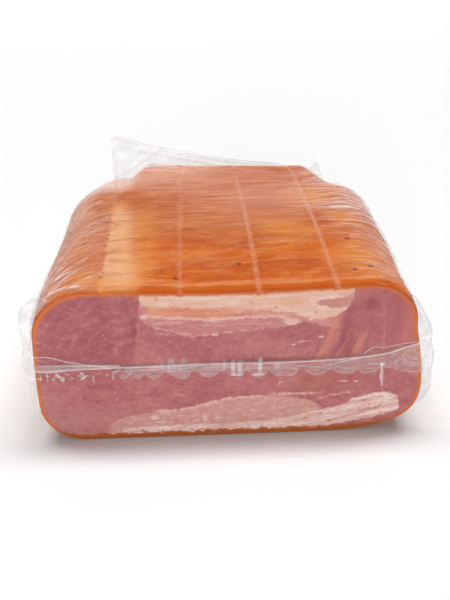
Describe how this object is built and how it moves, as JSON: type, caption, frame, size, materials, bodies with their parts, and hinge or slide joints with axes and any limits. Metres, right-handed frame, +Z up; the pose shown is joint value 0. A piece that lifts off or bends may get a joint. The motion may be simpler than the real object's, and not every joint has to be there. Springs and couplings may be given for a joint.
{
  "type": "pancetta",
  "caption": "Pressed block of smoked pancetta, cut across to show its lean and fat, shrink-wrapped in a clear film bag with a weld across the cut face and a sealed tail behind.",
  "frame": {"origin": "centre of the flat underside, level with the middle of the loaf's length", "axes": "+X to the right along the cut face, +Y from the cut face to the back end, +Z up"},
  "size_m": [0.2152, 0.1878, 0.1083],
  "materials": {
    "meat": "smoked orange-brown rind with a pink and white cut face",
    "film": "clear wrinkled shrink film"
  },
  "bodies": {
    "root": {"pancetta": "meat", "bag": "film"}
  },
  "joints": []
}
